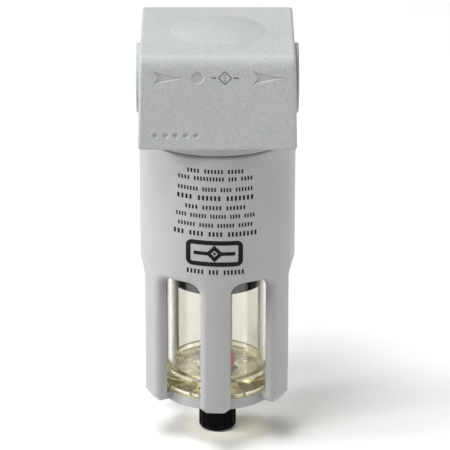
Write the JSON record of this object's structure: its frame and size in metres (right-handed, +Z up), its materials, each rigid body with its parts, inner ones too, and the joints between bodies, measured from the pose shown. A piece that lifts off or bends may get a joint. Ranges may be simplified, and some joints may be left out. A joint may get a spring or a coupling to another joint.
{
  "type": "compressed air filter",
  "caption": "Compressed air filter: square cast head with two threaded side ports, clear bowl in a windowed guard, and a fluted black push drain knob.",
  "frame": {"origin": "on the bowl's axis at the level of the drain knob's bottom", "axes": "+Z up along the bowl's axis; +X out of the outlet port, so air flows from -X to +X; -Y is the marked front"},
  "size_m": [0.064, 0.0666, 0.172],
  "materials": {
    "casting_paint": "satin light grey paint on a die casting",
    "guard_paint": "satin light grey paint on a die casting",
    "clear_plastic": "clear, slightly yellow moulded polycarbonate",
    "black_plastic": "glossy black moulding",
    "knob_plastic": "glossy black moulding",
    "white_plastic": "natural acetal",
    "sintered_filter": "porous sintered, matt off-white",
    "black_rubber": "matt black rubber",
    "red_rubber": "satin red rubber",
    "zinc_steel": "zinc plated",
    "brass_stem": "turned"
  },
  "bodies": {
    "head_assembly": {"head": "casting_paint", "deflector": "black_plastic", "filter_element": "sintered_filter", "element_top_gasket": "black_rubber", "element_bottom_gasket": "black_rubber", "tie_rod": "zinc_steel", "baffle": "black_plastic", "baffle_nut": "zinc_steel"},
    "bowl_assembly": {"bowl": "clear_plastic", "bowl_o_ring": "black_rubber", "drain_body": "white_plastic", "drain_gasket": "red_rubber", "drain_nut": "white_plastic"},
    "thrust_ring": {"slip_ring": "white_plastic"},
    "guard_body": {"guard": "guard_paint"},
    "drain_valve": {"drain_stem": "brass_stem", "drain_seal": "red_rubber", "seal_retainer": "zinc_steel", "knob_clip": "zinc_steel", "drain_spring": "zinc_steel"},
    "knob_body": {"drain_knob": "knob_plastic"}
  },
  "joints": [
    {"name": "bowl_removal", "type": "slide", "parent": "head_assembly", "child": "bowl_assembly", "axis": [0, 0, -1], "range_m": [0, 0.09]},
    {"name": "guard_lower", "type": "slide", "parent": "bowl_assembly", "child": "thrust_ring", "axis": [0, 0, -1], "range_m": [0, 0.006]},
    {"name": "guard_turn", "type": "hinge", "parent": "thrust_ring", "child": "guard_body", "pos_m": [0, 0, 0.1], "axis": [0, 0, 1], "range_deg": [0, 1080]},
    {"name": "drain_lift", "type": "slide", "parent": "bowl_assembly", "child": "drain_valve", "axis": [0, 0, 1], "range_m": [0, 0.003], "stiffness_N_per_m": 300, "springref_m": -0.003, "deforming": ["drain_spring"]},
    {"name": "drain_knob_turn", "type": "hinge", "parent": "drain_valve", "child": "knob_body", "pos_m": [0, 0, 0.005], "axis": [0, 0, 1], "range_deg": [0, 90]}
  ],
  "couplings": [
    {"joint": "guard_lower", "follows": "guard_turn", "m_per_rad": 0.0003183}
  ]
}
